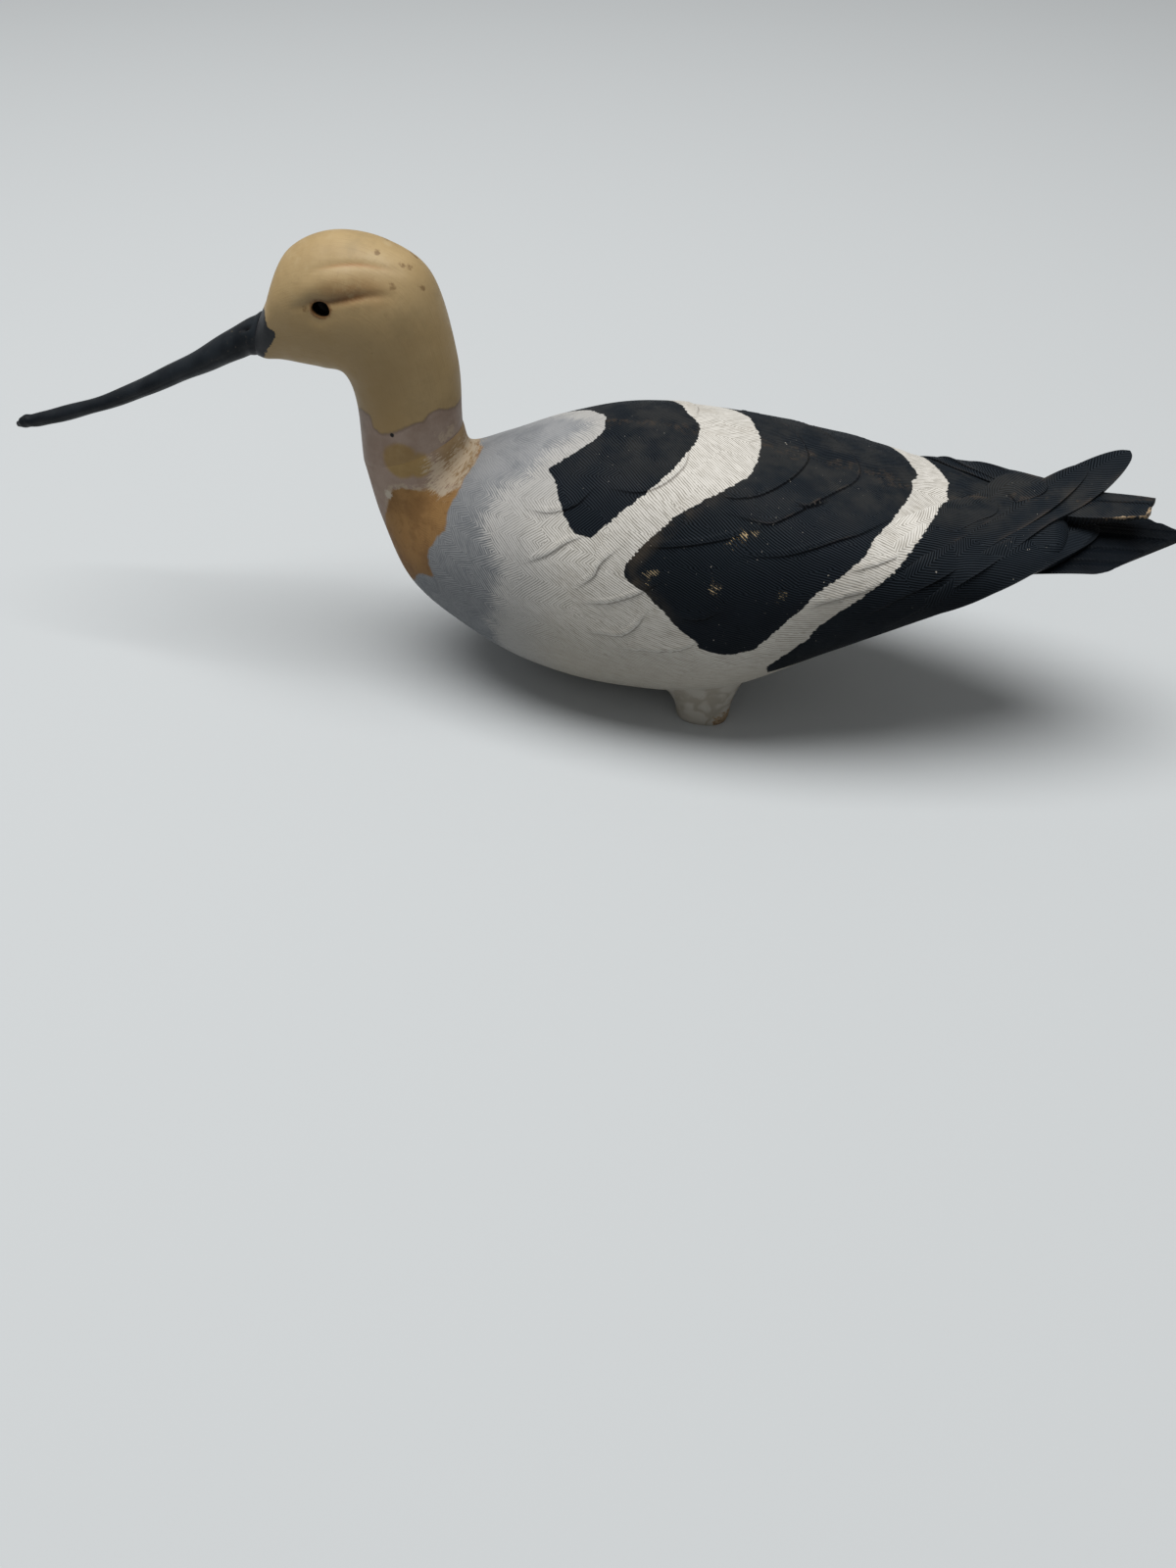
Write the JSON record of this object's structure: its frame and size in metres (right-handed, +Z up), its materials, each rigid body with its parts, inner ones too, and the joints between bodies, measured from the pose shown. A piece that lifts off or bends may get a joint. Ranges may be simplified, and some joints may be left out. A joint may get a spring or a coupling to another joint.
{
  "type": "shorebird decoy",
  "caption": "Life-size carved and painted wading bird with crossed wing tips, long upcurved bill and two stub thighs.",
  "frame": {"origin": "on the ground, under the middle of the bird's overall box", "axes": "+X from bill to tail, +Y to the bird's right side, +Z up"},
  "size_m": [0.3922, 0.0916, 0.1514],
  "materials": {
    "painted_body": "matt black, white, grey and rust paint over carved wood, worn and rubbed",
    "painted_head": "tan paint over carved wood, satin, with a mauve putty line at the neck",
    "painted_bill": "satin black paint"
  },
  "bodies": {
    "root": {"body": "painted_body", "head": "painted_head", "bill": "painted_bill"}
  },
  "joints": []
}
